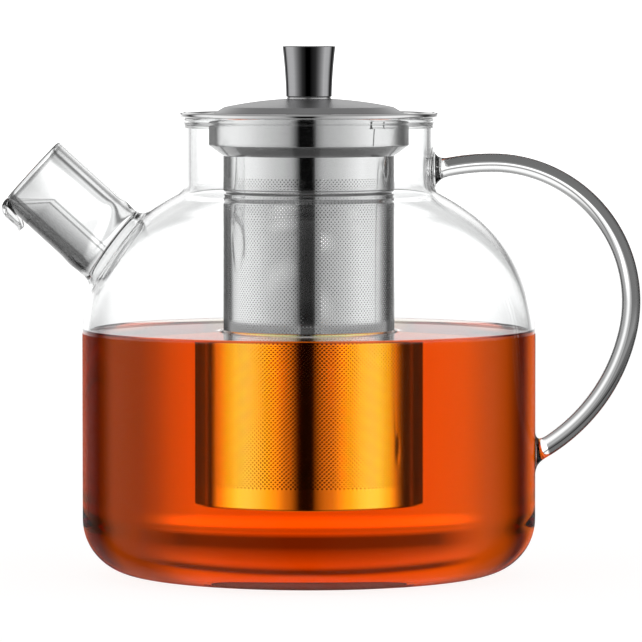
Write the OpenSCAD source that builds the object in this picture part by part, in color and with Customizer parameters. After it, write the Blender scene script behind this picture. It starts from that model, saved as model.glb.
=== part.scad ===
// Glass infuser teapot: blown glass vessel with a tube spout and a rod handle,
// a lift-out steel infuser that hangs from the mouth, and a domed steel lid
// with a turned knob. Millimetres, +Z up, origin at the centre of the foot.
// The spout points to -X and the handle to +X.

/* [Vessel] */
// Outer radius of the body at its widest
body_r = 77; // [76:0.25:78]
// Thickness of the blown glass wall
wall = 2.2; // [1.8:0.1:2.6]
// Thickness of the glass at the foot
foot_wall = 2.8; // [2.4:0.1:3.6]
// Radius of the corner between the side wall and the underside
corner_r = 18.5; // [17:0.5:20]
// Angle at which the corner blends into the shallow underside
corner_angle = 80; // [76:1:82]
// Radius of the shallow underside
under_r = 47; // [40:1:55]
// Height where the straight side wall ends and the shoulder begins
shoulder_z = 80; // [78:0.5:82]
// Radius of the lower shoulder curve
shoulder_r1 = 52.8; // [51:0.2:54]
// Angle swept by the lower shoulder curve
shoulder_angle = 55; // [53:0.5:57]
// Radius of the flatter upper shoulder curve
shoulder_r2 = 88.5; // [86:0.5:92]

/* [Neck] */
// Outer radius of the neck
neck_r = 42.35; // [42:0.05:42.6]
// Height of the rim above the foot
rim_z = 155.25; // [153:0.25:157]
// Radius of the fire-polished bead on the rim
rim_bead_r = 1.3; // [1.25:0.05:1.4]
// Radius of the inside curve where the neck meets the shoulder
neck_fillet = 4; // [3:0.5:5]

/* [Spout] */
// Outer radius of the spout tube
spout_r = 14; // [13.5:0.25:14.5]
// Wall thickness of the spout tube
spout_wall = 2; // [1.8:0.1:2.2]
// Rise of the spout above horizontal
spout_angle = 42.3; // [41:0.1:44]
// Distance of the spout's mouth from the pot's axis
spout_mouth_x = 94.4; // [93:0.2:96]
// Height of the centre of the spout's mouth
spout_mouth_z = 136.7; // [135:0.2:138]
// Reach of the curled drip lip outside the tube
lip_reach = 3.7; // [3.4:0.1:4]
// Width of the curled drip lip
lip_w = 13; // [10:0.5:16]

/* [Handle] */
// Radius of the glass rod
rod_r = 3.2; // [2.8:0.1:3.5]
// Distance from the pot's axis to the centre of the main curve
handle_cx = 62.3; // [61:0.1:63]
// Height of the centre of the main curve
handle_cz = 92.6; // [91:0.1:94]
// Radius of the main curve of the handle
handle_r = 47.2; // [46:0.2:48]
// Radius of the flat curve that runs to the neck
handle_top_r = 79; // [74:1:84]
// Radius of the long curve that runs to the wall
handle_low_r = 62.1; // [61:0.1:64]
// Angle below horizontal where the long curve begins
handle_low_angle = 12; // [10:0.5:14]

/* [Infuser] */
// Outer radius of the infuser's hanging flange
flange_r = 44; // [43.8:0.1:44.6]
// Thickness of the flange sheet
flange_t = 0.6; // [0.5:0.1:0.8]
// Outer radius of the collar under the flange
collar_r = 34; // [33.5:0.25:34.5]
// Height of the straight part of the collar
collar_h = 9.5; // [8:0.5:11]
// Height of the cone under the collar
cone_h = 3.5; // [3:0.25:5]
// Outer radius of the perforated basket
basket_r = 29.05; // [28.5:0.05:29.5]
// Thickness of the collar and basket sheet
sheet_t = 0.5; // [0.4:0.05:0.6]
// Height of the basket's underside above the foot
basket_z = 24.8; // [22:0.2:30]
// Height of the rolled groove around the basket
groove_z = 127.5; // [120:0.5:132]
// Depth of the rolled groove
groove_d = 0.9; // [0.7:0.1:1.1]

/* [Lid] */
// Radius of the dome where it meets the flange
dome_r = 32.6; // [32:0.1:33]
// Radius where the bevel meets the shallow dome
dome_top_r = 28.7; // [27:0.1:30]
// Height of the bevel
bevel_h = 2.3; // [1.8:0.1:2.8]
// Rise of the shallow dome above the bevel
dome_h = 3; // [2.5:0.1:3.5]
// Depth of the ring that centres the lid in the collar
skirt_h = 8; // [6:0.5:9]

/* [Knob] */
// Radius of the knob's top
knob_r = 9.08; // [8.5:0.02:9.5]
// Radius of the knob's bottom
knob_foot_r = 7.82; // [7.4:0.02:8.2]
// Height of the knob
knob_h = 17.2; // [15:0.2:19]
// Hollow of the knob's side
knob_hollow = 0.22; // [0.1:0.02:0.3]
// Thickness of the polished ring under the knob
spacer_t = 0.8; // [0.6:0.1:1.2]

/* [Hidden] */
$fn = 96;

// colours shared by several pieces
glass = [0.93, 0.96, 0.96, 0.4];
formed_steel = [0.78, 0.79, 0.80];
screen_steel = [0.82, 0.82, 0.80];

// centres [radius, z] of the vessel's tangent arcs
corner_z = corner_r * sin(corner_angle) + under_r * (1 - sin(corner_angle));
corner_centre = [body_r - corner_r, corner_z];
under_x = body_r - corner_r * (1 - cos(corner_angle)) - under_r * cos(corner_angle);
under_centre = [under_x, under_r];
shoulder_centre1 = [body_r - shoulder_r1, shoulder_z];
shoulder_centre2 = shoulder_centre1
    + (shoulder_r1 - shoulder_r2) * [cos(shoulder_angle), sin(shoulder_angle)];
glass_top = rim_z - rim_bead_r;           // centre height of the rim bead

// stack of the resting parts; each resting face keeps a hair of clearance
rest_gap = 0.05;
flange_z = rim_z + rest_gap;              // underside of the flange
mouth_r = collar_r - sheet_t - 0.1;       // opening in the flange
cone_z = flange_z - collar_h;             // top of the cone
basket_top = cone_z - cone_h;
lid_z = flange_z + flange_t + rest_gap;   // underside of the lid's rim
lid_rim_t = 0.5;
bevel_z = lid_z + lid_rim_t;
dome_z = bevel_z + bevel_h;               // bottom of the shallow dome
seat_z = dome_z + dome_h - 0.35;          // flat seat for the knob's ring
knob_z = seat_z + spacer_t;
dome_t = 0.6;                             // thickness of the pressed dome
washer_t = 0.8;
washer_z = seat_z - dome_t - washer_t;    // underside of the washer
screw_r = 2;
screw_hole_r = screw_r + 0.1;

// ---- vessel profile ----------------------------------------------------

overlap = 3;                              // run of each band into its neighbour

// region inside an arc, from the axis out, between two heights
module arc_band(centre, r, z0, z1) {
    intersection() {
        translate(centre) circle(r, $fn = 180);
        translate([centre[0] - overlap, z0]) square([r + overlap + 1, z1 - z0]);
    }
    translate([0, z0]) square([centre[0], z1 - z0]);
}

// half section of the vessel offset inwards by inset, up to height top
module vessel_region(inset, top) {
    floor_z = inset > 0 ? max(inset, foot_wall) : 0;
    under_top = under_r - (under_r - inset) * sin(corner_angle);
    lower_top = shoulder_z + (shoulder_r1 - inset) * sin(shoulder_angle);
    tube_r = neck_r - inset;
    upper_r = shoulder_r2 - inset;
    upper_top = shoulder_centre2[1] + sqrt(pow(upper_r, 2) - pow(tube_r - shoulder_centre2[0], 2));
    // curve between shoulder and neck: its centre, and its foot on the shoulder
    fillet_r = neck_fillet + inset;
    fillet_x = tube_r + fillet_r;
    fillet_centre = [fillet_x, shoulder_centre2[1]
        + sqrt(pow(upper_r + fillet_r, 2) - pow(fillet_x - shoulder_centre2[0], 2))];
    fillet_foot = shoulder_centre2
        + (fillet_centre - shoulder_centre2) * upper_r / (upper_r + fillet_r);
    // shallow underside
    if (under_top > floor_z) arc_band(under_centre, under_r - inset, floor_z, under_top);
    // corner; it runs on into its neighbours, inside their outlines
    arc_band(corner_centre, corner_r - inset, max(floor_z, under_top - 1.5), corner_z + overlap);
    // side wall
    translate([0, corner_z]) square([body_r - inset, shoulder_z - corner_z]);
    // shoulder
    arc_band(shoulder_centre1, shoulder_r1 - inset, shoulder_z - overlap, lower_top + overlap);
    arc_band(shoulder_centre2, upper_r, lower_top, upper_top);
    // neck
    translate([0, upper_top - overlap]) square([tube_r, top - upper_top + overlap]);
    difference() {
        polygon([[tube_r - 2, fillet_foot[1] - overlap], fillet_foot,
                 fillet_centre, [tube_r - 2, fillet_centre[1]]]);
        translate(fillet_centre + [0.02, 0.02]) circle(fillet_r, $fn = 96);
    }
}

// solid block of the vessel's outline, which trims whatever is fused to it
module vessel_outside() {
    rotate_extrude($fn = 180) vessel_region(0, glass_top);
}

// round flare of radius r + reach at z = 0, blending into a rod of radius r above
module flare(r, reach, up, down) {
    rotate_extrude() difference() {
        translate([0, -down]) square([r + reach, down + up]);
        translate([r + reach, up]) circle(reach, $fn = 64);
    }
}

// ---- vessel ------------------------------------------------------------

spout_root_r = spout_r - spout_wall + 0.6;    // wider passage at the spout's weld
spout_bore_l = 29;                            // even bore behind the mouth bead
spout_tube_l = 52;
spout_bead_r = spout_wall / 2;
spout_flare_z = -34;
lip_t = 1.2;
lip_drop = 10.2;                              // mouth to the centre of the lip's round end

// place things on the spout: +Z out of the mouth, -X towards its lower side
module at_spout() {
    translate([-spout_mouth_x, 0, spout_mouth_z]) rotate([0, spout_angle - 90, 0]) children();
}

// body, shoulder and neck in one blown piece, with the spout's hole in its side
module pot_body() {
    color(glass) difference() {
        rotate_extrude($fn = 180) {
            difference() {
                vessel_region(0, glass_top);
                vessel_region(wall, rim_z + 5);
            }
            translate([neck_r - wall / 2, glass_top]) circle(rim_bead_r, $fn = 48);
        }
        at_spout() translate([0, 0, -70]) cylinder(r = spout_root_r, h = 60);
    }
}

// bored tube with a flared root, running on into the vessel
module spout_tube() {
    bore_z = -spout_bore_l - spout_bead_r;
    root_l = 60;
    difference() {
        union() {
            translate([0, 0, -spout_tube_l]) cylinder(r = spout_r, h = spout_tube_l - spout_bead_r);
            translate([0, 0, spout_flare_z]) flare(spout_r, reach = 3, up = 4, down = 12);
        }
        translate([0, 0, bore_z]) cylinder(r = spout_r - spout_wall, h = 70);
        translate([0, 0, -root_l]) cylinder(r = spout_root_r, h = root_l + 0.01 + bore_z);
    }
}

// polished bead around the mouth
module spout_bead() {
    translate([0, 0, -spout_bead_r]) rotate_extrude()
        translate([spout_r - spout_wall / 2 + 0.03, 0]) circle(spout_bead_r, $fn = 48);
}

// lip that curls out over the mouth's lower side and down to a round end
module drip_lip() {
    lip_inner_x = spout_r + lip_reach - lip_t;
    curl_x = spout_r - 0.3;
    curl_r = lip_inner_x + lip_t - curl_x;
    translate([0, lip_w / 2, 0]) rotate([90, 0, 0]) linear_extrude(lip_w) {
        intersection() {
            translate([-curl_x, -curl_r]) difference() {
                circle(curl_r, $fn = 64);
                circle(curl_r - lip_t, $fn = 64);
            }
            translate([-curl_x - curl_r - 1, -curl_r]) square([curl_r + 1.01, curl_r + 1]);
        }
        translate([-lip_inner_x - lip_t, -lip_drop]) square([lip_t, lip_drop - curl_r + 0.01]);
        translate([-lip_inner_x - lip_t / 2, -lip_drop]) circle(lip_t / 2, $fn = 32);
    }
}

// tube with a polished mouth, a curled drip lip on its lower side and a flared root
module spout() {
    color(glass) difference() {
        at_spout() {
            spout_tube();
            spout_bead();
            drip_lip();
        }
        vessel_outside();
    }
}

// arc of the handle's rod in the XZ plane, angles from +X towards +Z
module rod_arc(centre, r, a0, a1) {
    translate([centre[0], 0, centre[1]]) rotate([90, 0, 0]) rotate([0, 0, a0])
        rotate_extrude(angle = a1 - a0, $fn = 180) translate([r, 0]) circle(rod_r, $fn = 48);
}

// flared foot that widens towards the glass at x
module handle_foot(x, z, r, reach) {
    translate([x, 0, z]) rotate([0, 90, 0]) flare(r, reach, up = reach, down = 1.2);
}

// angle from +X at which an arc crosses a given x
function crossing(x, centre, r) = acos((x - centre[0]) / r);

// rod in three tangent curves, with flared feet fused to the neck and the wall
module handle() {
    sink = 1.5;                           // run of the rod's ends into the glass
    main_centre = [handle_cx, handle_cz];
    low_dir = [cos(handle_low_angle), -sin(handle_low_angle)];
    low_centre = main_centre + (handle_r - handle_low_r) * low_dir;
    top_centre = main_centre + [0, handle_r - handle_top_r];
    top_end = crossing(neck_r - sink, top_centre, handle_top_r);
    low_end = crossing(body_r - sink, low_centre, handle_low_r);
    neck_angle = crossing(neck_r, top_centre, handle_top_r);
    wall_angle = crossing(body_r, low_centre, handle_low_r);
    color(glass) difference() {
        union() {
            rod_arc(top_centre, handle_top_r, 90, top_end);
            rod_arc(main_centre, handle_r, -handle_low_angle, 90);
            rod_arc(low_centre, handle_low_r, -low_end, -handle_low_angle);
            // joints between the curves
            for (joint = [main_centre + [0, handle_r], main_centre + handle_r * low_dir])
                translate([joint[0], 0, joint[1]]) sphere(rod_r + 0.03, $fn = 48);
            handle_foot(neck_r, top_centre[1] + handle_top_r * sin(neck_angle),
                        r = rod_r - 0.2, reach = 3.6);
            handle_foot(body_r, low_centre[1] - handle_low_r * sin(wall_angle),
                        r = rod_r + 0.2, reach = 3.2);
        }
        vessel_outside();
    }
}

// ---- infuser -----------------------------------------------------------

flange_bead_r = 0.85;
base_t = 0.6;                             // thickness of the base ring's flat
base_gap = 0.05;                          // clearance around the base ring's upright
upright_t = 0.5;
upright_r = basket_r - sheet_t - base_gap - upright_t;    // inside of the upright

// flat ring that hangs on the glass rim, its edge rolled into a bead
module infuser_flange() {
    bead_x = flange_r - flange_bead_r;
    color([0.80, 0.81, 0.82]) rotate_extrude() {
        translate([mouth_r, flange_z]) square([bead_x - mouth_r, flange_t]);
        translate([bead_x, flange_z + 0.75]) circle(flange_bead_r, $fn = 48);
    }
}

// drawn collar and the cone that steps in to the basket
module infuser_collar() {
    inner_r = collar_r - sheet_t * 1.15;
    rise = 0.35;                          // inner corners sit above the outer ones
    color(formed_steel) rotate_extrude() polygon([
        [collar_r, flange_z], [collar_r, cone_z], [basket_r, basket_top],
        [basket_r - sheet_t, basket_top], [basket_r - sheet_t, basket_top + rise],
        [inner_r, cone_z + rise], [inner_r, flange_z]]);
}

// folded strip tacked to the collar below the flange: two short rolled tabs
// and one tapered tongue
module collar_clip() {
    tabs = [[-52.8, -44.8], [-43.5, -31.9]];    // start and end angles from +X
    top = flange_z - 0.35;
    low = flange_z - 2.9;
    tongue_top = low + 0.25;
    tongue_low = cone_z + 0.2;
    color([0.70, 0.71, 0.72]) {
        for (tab = tabs)
            rotate([0, 0, tab[0]]) rotate_extrude(angle = tab[1] - tab[0]) {
                translate([collar_r + 0.02, low]) square([0.48, top - low]);
                translate([collar_r + 0.45, low]) circle(0.4, $fn = 32);
            }
        // tongue, cut from a thin shell by a tapered prism
        intersection() {
            difference() {
                translate([0, 0, cone_z - 5]) cylinder(r = collar_r + 0.3, h = 20, $fn = 96);
                cylinder(r = collar_r + 0.05, h = 200, $fn = 96);
            }
            rotate([0, 0, -42.3]) rotate([90, 0, 90]) linear_extrude(60)
                polygon([[-4.9, tongue_top], [5.6, tongue_top],
                         [2.2, tongue_low], [-5.4, tongue_low]]);
        }
    }
}

// perforated tube; the fine holes are left out of this solid
module basket_wall() {
    wall_z = basket_z + base_t;
    groove_r = 1.54 * groove_d / 0.9;     // keeps its proportion to the depth
    groove_centre = [basket_r - groove_d + groove_r, groove_z];
    color(screen_steel) rotate_extrude() difference() {
        union() {
            translate([basket_r - sheet_t, wall_z]) square([sheet_t, basket_top - wall_z]);
            // back of the groove, standing inside the tube
            intersection() {
                translate(groove_centre) circle(groove_r + sheet_t, $fn = 64);
                translate([basket_r - 4, groove_z - 5]) square([4, 10]);
            }
        }
        translate(groove_centre) circle(groove_r, $fn = 64);
    }
}

// ring that closes the lower edge and holds the bottom screen
module basket_base_ring() {
    flat_w = 2.6;
    color(formed_steel) rotate_extrude() {
        translate([basket_r - flat_w, basket_z]) square([flat_w, base_t]);
        translate([upright_r, basket_z + base_t - 0.05]) square([upright_t, 4.2]);
    }
}

// round bottom screen, laid inside the ring; its fine holes are left out
module basket_base_screen() {
    color(screen_steel) translate([0, 0, basket_z + base_t])
        cylinder(r = upright_r - base_gap, h = 0.45);
}

// ---- lid ---------------------------------------------------------------

// half section of the space under the dome's outer face
module dome_region() {
    sphere_r = (pow(dome_top_r, 2) + pow(dome_h, 2)) / (2 * dome_h);
    bevel_top = dome_z + 0.001;
    intersection() {
        translate([0, dome_z + dome_h - sphere_r]) circle(sphere_r, $fn = 360);
        translate([0, dome_z]) square([dome_top_r, seat_z - dome_z]);
    }
    polygon([[0, bevel_z], [dome_r, bevel_z], [dome_top_r, bevel_top], [0, bevel_top]]);
}

// pressed dome with a bevelled edge and a thin rim that rests on the flange
module lid_dome() {
    color([0.60, 0.60, 0.61]) difference() {
        rotate_extrude($fn = 120) {
            difference() {
                dome_region();
                translate([0, -dome_t]) dome_region();
            }
            translate([dome_r - 1.2, lid_z]) square([2.8, lid_rim_t]);
        }
        translate([0, 0, seat_z - 5]) cylinder(r = screw_hole_r, h = 10, $fn = 48);
    }
}

// ring under the lid that slips inside the collar
module lid_skirt() {
    color([0.75, 0.76, 0.77]) rotate_extrude()
        translate([mouth_r - 0.75, lid_z - skirt_h]) square([0.5, skirt_h]);
}

// polished ring between the knob and the dome, with a shallow groove in its edge
module knob_spacer() {
    spacer_r = 7.3;
    color([0.90, 0.90, 0.91]) rotate_extrude() difference() {
        translate([screw_hole_r, seat_z]) square([spacer_r - screw_hole_r, spacer_t]);
        translate([spacer_r + 0.35, seat_z + spacer_t / 2]) circle(0.5, $fn = 32);
    }
}

// turned solid knob, wider at the top, with a blind hole for the screw
module knob() {
    flare_w = knob_r - knob_foot_r;
    knob_top = knob_z + knob_h;
    chamfer = 0.35;
    hole_depth = 8.2;
    // arc of the hollow side, through both ends of a straight side
    side = norm([flare_w, knob_h]);
    hollow_r = (side * side / 4 + knob_hollow * knob_hollow) / (2 * knob_hollow);
    side_middle = [(knob_r + knob_foot_r) / 2, knob_z + knob_h / 2];
    outward = [knob_h, -flare_w] / side;
    color([0.16, 0.16, 0.17]) rotate_extrude() difference() {
        polygon([[0, knob_z], [knob_foot_r, knob_z], [knob_r, knob_top - chamfer],
                 [knob_r - chamfer, knob_top], [0, knob_top]]);
        translate(side_middle + (hollow_r - knob_hollow) * outward) circle(hollow_r, $fn = 360);
        translate([-1, knob_z - 1]) square([screw_r + 1 + 0.05, hole_depth + 1]);
    }
}

// washer under the dome
module knob_washer() {
    color([0.80, 0.80, 0.80]) translate([0, 0, washer_z]) difference() {
        cylinder(r = 4.6, h = washer_t, $fn = 64);
        translate([0, 0, -1]) cylinder(r = screw_hole_r, h = 3, $fn = 48);
    }
}

// pan head screw with a cross recess, which draws the knob down on the dome
module knob_screw() {
    head_h = 2.2;
    reach = 7.5;                          // length of shank inside the knob
    slot = [4.2, 0.9, 2];
    color([0.70, 0.70, 0.70]) difference() {
        union() {
            translate([0, 0, washer_z - head_h]) cylinder(r = 3.7, h = head_h, $fn = 64);
            translate([0, 0, washer_z - 0.01])
                cylinder(r = screw_r, h = knob_z + reach - washer_z, $fn = 48);
        }
        for (turn = [0, 90])
            rotate([0, 0, turn]) translate([-slot[0] / 2, -slot[1] / 2, washer_z - 3]) cube(slot);
    }
}

pot_body();
spout();
handle();
infuser_flange();
infuser_collar();
collar_clip();
basket_wall();
basket_base_ring();
basket_base_screen();
lid_dome();
lid_skirt();
knob_spacer();
knob();
knob_washer();
knob_screw();
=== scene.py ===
"""Looks of a glass teapot: fused glass vessel, tea, perforated steel infuser and domed steel lid.

The pot stands on z = 0 with its axis on Z. The spout points to -X, the handle to +X, and the
camera looks from -Y. Sizes are in millimetres, scaled to metres by MM when a mesh is made.
"""

import math

import bmesh
import bpy
import numpy as np
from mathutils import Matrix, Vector
from mathutils.geometry import delaunay_2d_cdt


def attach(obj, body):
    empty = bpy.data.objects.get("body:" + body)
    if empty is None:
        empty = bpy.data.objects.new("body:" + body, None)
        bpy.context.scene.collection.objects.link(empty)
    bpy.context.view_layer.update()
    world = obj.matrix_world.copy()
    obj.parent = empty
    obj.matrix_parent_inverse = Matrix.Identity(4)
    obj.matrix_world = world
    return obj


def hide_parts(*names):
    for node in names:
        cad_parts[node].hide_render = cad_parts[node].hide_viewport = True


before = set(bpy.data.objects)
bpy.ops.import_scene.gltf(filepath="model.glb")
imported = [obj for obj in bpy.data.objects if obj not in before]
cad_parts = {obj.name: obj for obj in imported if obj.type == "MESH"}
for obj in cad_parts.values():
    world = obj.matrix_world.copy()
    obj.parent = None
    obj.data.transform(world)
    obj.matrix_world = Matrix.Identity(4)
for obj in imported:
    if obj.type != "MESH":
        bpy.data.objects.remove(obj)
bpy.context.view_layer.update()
MM = 0.001
scene = bpy.context.scene
rad = math.radians

# ---- sizes of the glass (angles in degrees) ----------------------------------

BODY_R = 77.0
WALL = 2.2
FOOT_WALL = 2.8             # glass thickness under the pot
UNDER_R = 47.0              # shallow arc at the rim of the underside
CORNER_R = 18.5             # arc from there up to the upright wall
CORNER_ANGLE = 80.0
SHOULDER_Z = 80.0           # the upright wall ends here
SHOULDER_R = 52.8
SHOULDER_ANGLE = 55.0
UPPER_R = 88.5              # flatter arc from the shoulder to the neck
NECK_R = 42.35
NECK_FILLET = 4.0
RIM_Z = 155.25
RIM_BEAD = 1.3

SPOUT_R = 14.0
SPOUT_WALL = 2.0
SPOUT_BORE = SPOUT_R - SPOUT_WALL
SPOUT_ANGLE = 42.3
MOUTH = np.array([-94.4, 0.0, 136.7])

ROD_R = 3.2                 # the handle's rod, bent in three arcs
BEND_X, BEND_Z, BEND_R = 62.3, 92.6, 47.2
TOP_ARC_R = 79.0
LOW_ARC_R = 62.1
LOW_ARC_ANGLE = 12.0

TEA_Z = 82.5

# ---- sizes of the basket -----------------------------------------------------

BASKET_R = 29.05
BASKET_Z = 24.8
BASKET_TOP = 142.3
SHEET = 0.5
HOLES_ROUND = 144           # holes in each row, staggered from row to row
HOLE_STEP = 2 * math.pi / HOLES_ROUND
HOLE_R = 0.265
ROW_H = 0.7117
HOLES_LOW, HOLES_HIGH = 31.9, 135.8
ROWS = int((HOLES_HIGH - HOLES_LOW) / ROW_H)
SEAM_ANGLE, SEAM_HALF = 90.0, 8.0   # plain upright strip of the sheet, at +Y

# ---- centres of the vessel's arcs, in (r, z) ---------------------------------


def spokes(angles):
    """Unit vectors at angles in radians."""
    return np.stack([np.cos(angles), np.sin(angles)], -1)


corner_z = CORNER_R * math.sin(rad(CORNER_ANGLE)) + UNDER_R * (1 - math.sin(rad(CORNER_ANGLE)))
under_r = (BODY_R - CORNER_R * (1 - math.cos(rad(CORNER_ANGLE)))
           - UNDER_R * math.cos(rad(CORNER_ANGLE)))
under_mid = np.array([under_r, UNDER_R])
corner_mid = np.array([BODY_R - CORNER_R, corner_z])
shoulder_mid = np.array([BODY_R - SHOULDER_R, SHOULDER_Z])
upper_mid = shoulder_mid + (SHOULDER_R - UPPER_R) * spokes(rad(SHOULDER_ANGLE))
fillet_r = NECK_R + NECK_FILLET
fillet_rise = math.sqrt((UPPER_R + NECK_FILLET) ** 2 - (fillet_r - upper_mid[0]) ** 2)
fillet_mid = np.array([fillet_r, upper_mid[1] + fillet_rise])
fillet_angle = math.atan2(fillet_rise, fillet_r - upper_mid[0])

# ---- mesh helpers ------------------------------------------------------------


def build(name, verts, faces, body, material, replaced=(), normals=None):
    """A closed piece from points in millimetres; faces is a list of arrays, each of one width."""
    groups = [np.asarray(group, np.int32) for group in faces]
    loops = np.concatenate([group.ravel() for group in groups])
    totals = np.concatenate([np.full(len(group), group.shape[1], np.int32) for group in groups])
    starts = np.concatenate([[0], np.cumsum(totals)[:-1]]).astype(np.int32)
    mesh = bpy.data.meshes.new(name)
    mesh.vertices.add(len(verts))
    mesh.vertices.foreach_set("co", (np.asarray(verts, float) * MM).astype(np.float32).ravel())
    mesh.loops.add(len(loops))
    mesh.loops.foreach_set("vertex_index", loops)
    mesh.polygons.add(len(totals))
    mesh.polygons.foreach_set("loop_start", starts)
    mesh.polygons.foreach_set("loop_total", totals)
    mesh.update(calc_edges=True)
    mesh.validate()
    mesh.polygons.foreach_set("use_smooth", np.ones(len(mesh.polygons), bool))
    if normals is not None:
        mesh.normals_split_custom_set_from_vertices(np.asarray(normals, float).tolist())
    mesh.update()
    obj = bpy.data.objects.new(name, mesh)
    scene.collection.objects.link(obj)
    mesh.materials.append(material)
    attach(obj, body)
    if replaced:
        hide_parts(*replaced)
    return obj


def face_outwards(obj, normals=None):
    """Turns every face outwards, then sets the vertex normals if they are given."""
    work = bmesh.new()
    work.from_mesh(obj.data)
    bmesh.ops.recalc_face_normals(work, faces=work.faces)
    work.to_mesh(obj.data)
    work.free()
    if normals is not None:
        obj.data.normals_split_custom_set_from_vertices(normals.tolist())


def drop_unused(count, *faces):
    """Mask of the points that faces use, and the faces renumbered to match."""
    used = np.zeros(count, bool)
    for group in faces:
        used[group.ravel()] = True
    renumber = np.cumsum(used) - 1
    return used, [renumber[group] for group in faces]


def rounded(outline, radii):
    """Rounds the corners of a closed anticlockwise outline in (r, z); gives points and normals."""
    arc_step = 12.0  # degrees
    points, normals = [], []
    count = len(outline)
    for i in range(count):
        before, corner, after = (np.array(outline[(i + k) % count], float) for k in (-1, 0, 1))
        back, ahead = before - corner, after - corner
        back_length, ahead_length = np.linalg.norm(back), np.linalg.norm(ahead)
        back, ahead = back / back_length, ahead / ahead_length
        normal_in = np.array([-back[1], back[0]])
        normal_out = np.array([ahead[1], -ahead[0]])
        cross = normal_in[0] * normal_out[1] - normal_in[1] * normal_out[0]
        turn = math.atan2(cross, normal_in @ normal_out)
        radius = radii[i] if isinstance(radii, (list, tuple)) else radii
        if radius <= 0 or abs(turn) < 0.02:
            middle = normal_in + normal_out
            points.append(corner)
            normals.append(middle / np.linalg.norm(middle))
            continue
        trim = radius * abs(math.tan(turn / 2))
        longest = 0.49 * min(back_length, ahead_length)
        if trim > longest:
            radius, trim = radius * longest / trim, longest
        sign = 1 if turn > 0 else -1
        centre = corner + back * trim - normal_in * radius * sign
        steps = max(2, int(abs(math.degrees(turn)) / arc_step) + 1)
        start = math.atan2(normal_in[1] * sign, normal_in[0] * sign)
        for spoke in spokes(start + turn * np.arange(steps + 1) / steps):
            points.append(centre + spoke * radius)
            normals.append(spoke * sign)
    return np.array(points), np.array(normals)


def split_long(points, normals, longest):
    """Adds points on long straight runs."""
    new_points, new_normals = [], []
    for i, (start, normal) in enumerate(zip(points, normals)):
        following = (i + 1) % len(points)
        run = points[following] - start
        new_points.append(start)
        new_normals.append(normal)
        extra = int(np.linalg.norm(run) / longest)
        for j in range(1, extra + 1):
            part = j / (extra + 1)
            blend = normal * (1 - part) + normals[following] * part
            new_points.append(start + run * part)
            new_normals.append(blend / np.linalg.norm(blend))
    return np.array(new_points), np.array(new_normals)


def lathe(points, segments, normals=None):
    """Turns a closed anticlockwise outline in (r, z) about Z; points on the axis are shared."""
    if normals is None:
        normals = np.zeros_like(points)
    spoke = spokes(np.arange(segments) * 2 * math.pi / segments)
    verts, vert_normals, ids = [], [], []
    count = 0
    for point, normal in zip(points, normals):
        if point[0] < 1e-6:
            verts.append(np.array([[0, 0, point[1]]]))
            vert_normals.append(np.array([[0, 0, 1.0 if normal[1] > 0 else -1.0]]))
            ids.append(np.full(segments, count))
            count += 1
        else:
            verts.append(np.c_[point[0] * spoke, np.full(segments, point[1])])
            vert_normals.append(np.c_[normal[0] * spoke, np.full(segments, normal[1])])
            ids.append(np.arange(count, count + segments))
            count += segments
    on_axis = [point[0] < 1e-6 for point in points]
    quads, tris = [], []
    for i, low in enumerate(ids):
        k = (i + 1) % len(ids)
        high = ids[k]
        low_next, high_next = np.roll(low, -1), np.roll(high, -1)
        if on_axis[i] and on_axis[k]:
            continue
        if on_axis[i]:
            tris.append(np.stack([low, high_next, high], 1))
        elif on_axis[k]:
            tris.append(np.stack([low, low_next, high], 1))
        else:
            quads.append(np.stack([low, low_next, high_next, high], 1))
    faces = [np.concatenate(group) for group in (quads, tris) if group]
    return np.concatenate(verts), faces, np.concatenate(vert_normals)


def turned(name, outline, radii, body, slot, replaced, segments, longest):
    """A turned piece from an outline with rounded corners."""
    points, normals = split_long(*rounded(outline, radii), longest)
    verts, faces, vert_normals = lathe(points, segments, normals)
    build(name, verts, faces, body, MATERIALS[slot], (replaced,), vert_normals)


# ---- shader helpers ----------------------------------------------------------


def operator(kind, swapped=False):
    def apply(self, other):
        pair = (other, self) if swapped else (self, other)
        return self.graph.math(kind, *pair)
    return apply


class Signal:
    """One output of a node; arithmetic and comparisons with it add Math nodes."""

    def __init__(self, graph, node, key=0):
        self.graph, self.node, self.key = graph, node, key

    def output(self, key):
        return Signal(self.graph, self.node, key)

    __add__, __radd__ = operator("ADD"), operator("ADD", swapped=True)
    __sub__, __rsub__ = operator("SUBTRACT"), operator("SUBTRACT", swapped=True)
    __mul__ = operator("MULTIPLY")
    __truediv__ = operator("DIVIDE")
    __mod__ = operator("MODULO")
    __lt__, __gt__ = operator("LESS_THAN"), operator("GREATER_THAN")


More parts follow.
